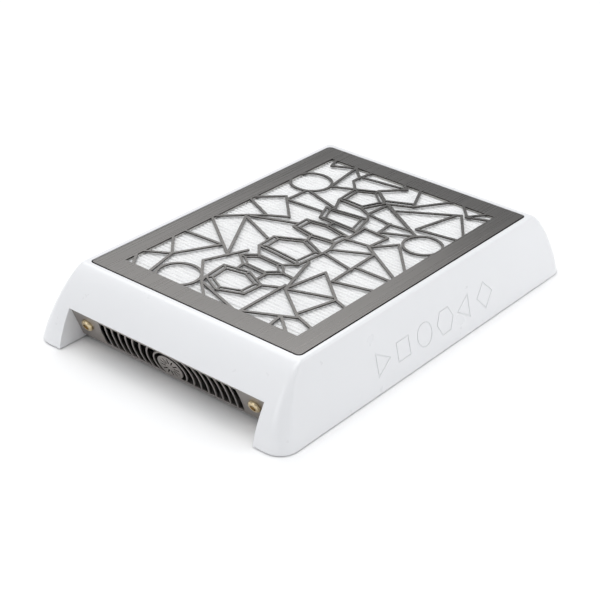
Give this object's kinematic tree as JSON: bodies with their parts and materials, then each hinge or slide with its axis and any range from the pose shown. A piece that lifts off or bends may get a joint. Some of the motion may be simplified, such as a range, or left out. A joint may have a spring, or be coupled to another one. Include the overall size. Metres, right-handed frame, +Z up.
{
  "type": "nail dust collector",
  "caption": "Low rectangular table-top dust extractor with a removable lattice grille and pleated filter over a radial fan, raised ends with slotted outlets.",
  "frame": {"origin": "on the table under the centre of the housing", "axes": "+Z up, +Y along the length towards the end with the switch and power inlet, +X to the right when looking from the front end"},
  "size_m": [0.2234, 0.3446, 0.0532],
  "materials": {
    "housing_white": "gloss white",
    "grille_metal": "satin, warm grey",
    "vent_metal": "satin, dark grey",
    "base_metal": "fine texture, black",
    "brass_screw": "polished",
    "dark_screw": "black oxide",
    "steel_screw": "zinc plated",
    "foot_rubber": "matte",
    "filter_card": "matte",
    "filter_paper": "matte, pleated",
    "foam": "closed-cell foam",
    "deck_metal": "satin",
    "fan_plastic": "matte",
    "guard_steel": "satin black",
    "motor_metal": "machined",
    "bearing_steel": "polished",
    "core_steel": "laminated",
    "winding": "enamelled copper",
    "can_steel": "satin",
    "magnet": "nickel grey",
    "black_plastic": "matte",
    "rocker_plastic": "gloss",
    "contact_brass": "satin",
    "nut_metal": "nickel plated",
    "board_green": "solder mask",
    "component_black": "moulded",
    "lead_black": "insulated",
    "lead_red": "insulated"
  },
  "bodies": {
    "base": {"housing": "housing_white", "base_plate": "base_metal", "base_screws": "dark_screw", "foot_front_left": "foot_rubber", "foot_front_right": "foot_rubber", "foot_rear_left": "foot_rubber", "foot_rear_right": "foot_rubber", "front_vent_panel": "vent_metal", "rear_vent_panel": "vent_metal", "front_vent_screws": "brass_screw", "rear_vent_screws": "brass_screw", "grille_magnets": "magnet", "fan_deck": "deck_metal", "deck_screws": "steel_screw", "inlet_ring": "fan_plastic", "inlet_guard": "guard_steel", "guard_screws": "steel_screw", "motor_base": "motor_metal", "motor_screws": "dark_screw", "lower_bearing": "bearing_steel", "upper_bearing": "bearing_steel", "stator_core": "core_steel", "stator_windings": "winding", "switch_body": "black_plastic", "inlet_socket": "black_plastic", "inlet_contact": "contact_brass", "inlet_nut": "nut_metal", "board_standoffs": "contact_brass", "control_board": "board_green", "board_screws": "steel_screw", "board_components": "component_black", "inlet_lead": "lead_black", "switch_lead": "lead_red", "motor_lead": "lead_black"},
    "rotor": {"impeller": "fan_plastic", "impeller_screws": "steel_screw", "rotor_can": "can_steel", "rotor_magnet": "magnet", "motor_shaft": "bearing_steel"},
    "filter": {"filter_frame": "filter_card", "filter_media": "filter_paper", "filter_seal": "foam"},
    "grille": {"top_grille": "grille_metal"},
    "rocker": {"switch_rocker": "rocker_plastic"}
  },
  "joints": [
    {"name": "fan_spin", "type": "hinge", "parent": "base", "child": "rotor", "pos_m": [0, 0, 0.015], "axis": [0, 0, 1], "continuous": true},
    {"name": "filter_lift", "type": "slide", "parent": "base", "child": "filter", "axis": [0, 0, 1], "range_m": [0, 0.03]},
    {"name": "grille_lift", "type": "slide", "parent": "filter", "child": "grille", "axis": [0, 0, 1], "range_m": [0, 0.02]},
    {"name": "switch_rock", "type": "hinge", "parent": "base", "child": "rocker", "pos_m": [-0.057, 0.15416, 0.01626], "axis": [0, 0.4067, 0.9135], "range_deg": [0, 14]}
  ]
}
